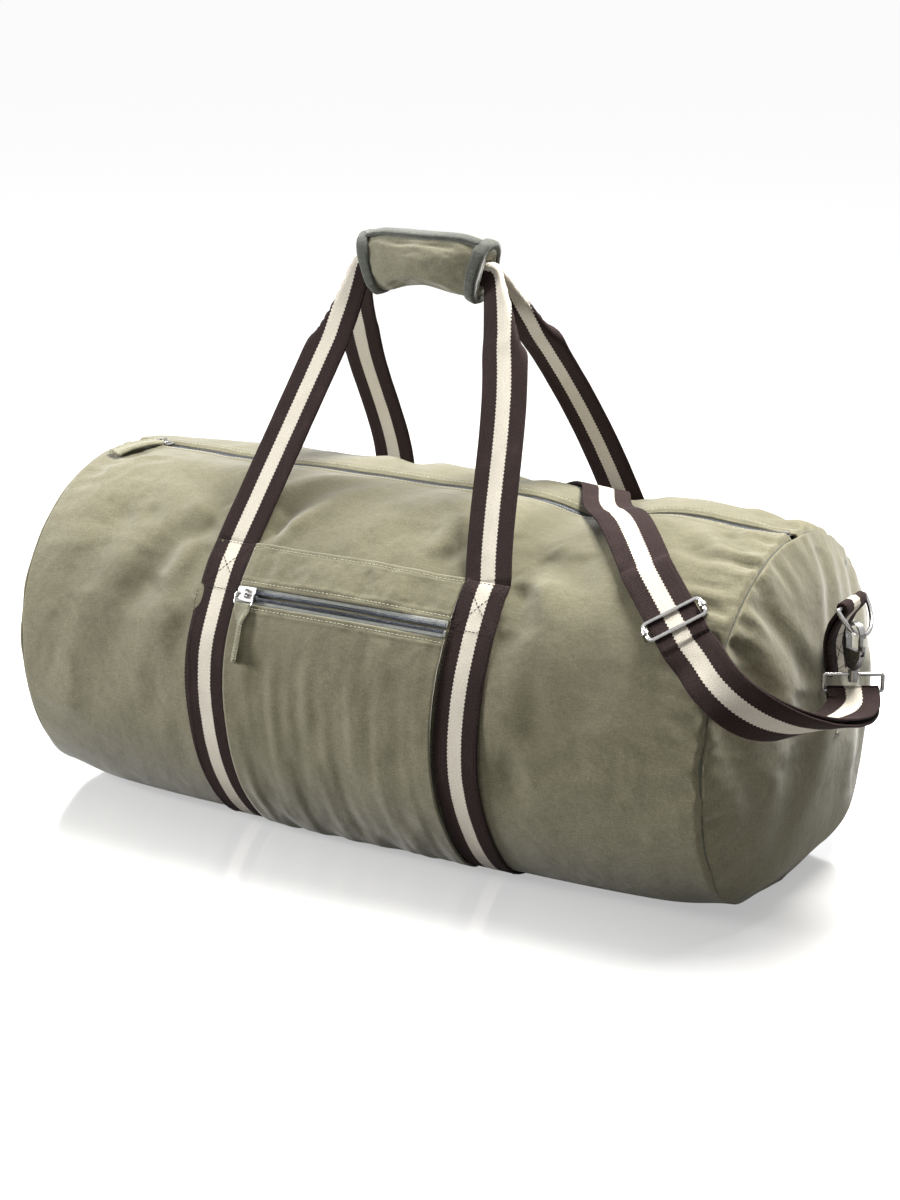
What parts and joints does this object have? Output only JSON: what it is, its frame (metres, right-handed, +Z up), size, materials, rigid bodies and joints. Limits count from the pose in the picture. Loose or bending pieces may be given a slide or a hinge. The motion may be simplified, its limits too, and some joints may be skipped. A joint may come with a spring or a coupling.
{
  "type": "barrel bag",
  "caption": "Canvas barrel bag with a zip along the top, a zipped front pocket, striped webbing handles joined by a padded grip, and a clip-on shoulder strap.",
  "frame": {"origin": "on the floor under the middle of the bag", "axes": "+X along the barrel, from the end with the closed main zip slider to the end with the adjuster; +Z up; -Y faces the pocket side"},
  "size_m": [0.6723, 0.2932, 0.4075],
  "materials": {
    "canvas": "washed cotton canvas, lined",
    "seam_tape": "woven binding tape",
    "zip_tape": "knitted zip tape",
    "coil": "moulded coil",
    "puller_cloth": "twill tape with stitched rows",
    "binding": "ribbed binding tape",
    "webbing": "striped cotton webbing",
    "nickel": "nickel plate"
  },
  "bodies": {
    "bag": {"body_panel": "canvas", "end_panel_left": "canvas", "end_panel_right": "canvas", "seam_binding_left": "seam_tape", "seam_binding_right": "seam_tape", "main_zip_tape_front": "zip_tape", "main_zip_tape_rear": "zip_tape", "main_zip_coil_front": "coil", "main_zip_coil_rear": "coil", "main_zip_stops": "nickel", "pocket_top_strip": "canvas", "pocket_panel": "canvas", "pocket_zip_tape_upper": "zip_tape", "pocket_zip_tape_lower": "zip_tape", "pocket_zip_coil_upper": "coil", "pocket_zip_coil_lower": "coil", "webbing_band_left": "webbing", "webbing_band_right": "webbing", "handle_front": "webbing", "handle_rear": "webbing", "grip_wrap": "canvas", "grip_binding": "binding", "ring_tab_left": "webbing", "ring_tab_right": "webbing", "clip_loop_left": "nickel", "clip_loop_right": "nickel", "shoulder_strap": "webbing", "strap_return": "webbing"},
    "main_slider": {"main_zip_slider": "nickel"},
    "main_pull": {"main_zip_bail": "nickel", "main_zip_puller": "puller_cloth"},
    "pocket_slider": {"pocket_zip_slider": "nickel"},
    "pocket_pull": {"pocket_zip_bail": "nickel", "pocket_zip_puller": "puller_cloth"},
    "ring_left": {"d_ring_left": "nickel"},
    "ring_right": {"d_ring_right": "nickel"},
    "hook_left": {"clip_hook_left": "nickel"},
    "hook_right": {"clip_hook_right": "nickel"},
    "gate_left": {"clip_gate_left": "nickel"},
    "gate_right": {"clip_gate_right": "nickel"},
    "adjuster": {"strap_end_loop": "webbing", "adjuster_frame": "nickel", "adjuster_bar": "nickel"}
  },
  "joints": [
    {"name": "main_zip_slide", "type": "slide", "parent": "bag", "child": "main_slider", "axis": [1, 0, 0], "range_m": [0, 0.315]},
    {"name": "main_pull_hinge", "type": "hinge", "parent": "main_slider", "child": "main_pull", "pos_m": [-0.236, 0, 0.2408], "axis": [-1, 0, 0], "range_deg": [0, 166]},
    {"name": "pocket_zip_slide", "type": "slide", "parent": "bag", "child": "pocket_slider", "axis": [1, 0, 0], "range_m": [0, 0.144]},
    {"name": "pocket_pull_hinge", "type": "hinge", "parent": "pocket_slider", "child": "pocket_pull", "pos_m": [-0.0722, -0.12959, 0.18085], "axis": [-1, 0, 0], "range_deg": [0, 160]},
    {"name": "ring_hinge_left", "type": "hinge", "parent": "bag", "child": "ring_left", "pos_m": [-0.304, -0.0025, 0.1979], "axis": [0, 1, 0], "range_deg": [-4, 4]},
    {"name": "ring_hinge_right", "type": "hinge", "parent": "bag", "child": "ring_right", "pos_m": [0.304, 0.0025, 0.1979], "axis": [0, -1, 0], "range_deg": [-4, 4]},
    {"name": "clip_swivel_left", "type": "hinge", "parent": "bag", "child": "hook_left", "pos_m": [-0.31268, 0.011, 0.15546], "axis": [0, 0, 1], "range_deg": [-8, 30]},
    {"name": "clip_swivel_right", "type": "hinge", "parent": "bag", "child": "hook_right", "pos_m": [0.31268, -0.011, 0.15546], "axis": [0, 0, 1], "range_deg": [-8, 30]},
    {"name": "gate_hinge_left", "type": "hinge", "parent": "hook_left", "child": "gate_left", "pos_m": [-0.31779, 0.01395, 0.17046], "axis": [0.5, 0.866, 0], "range_deg": [0, 35], "stiffness_Nm_per_rad": 0.004, "springref_deg": -20.05},
    {"name": "gate_hinge_right", "type": "hinge", "parent": "hook_right", "child": "gate_right", "pos_m": [0.31779, -0.01395, 0.17046], "axis": [-0.5, -0.866, 0], "range_deg": [0, 35], "stiffness_Nm_per_rad": 0.004, "springref_deg": -20.05},
    {"name": "adjuster_slide", "type": "slide", "parent": "bag", "child": "adjuster", "axis": [-0.6922, 0.4815, 0.5376], "range_m": [0, 0.03]}
  ]
}
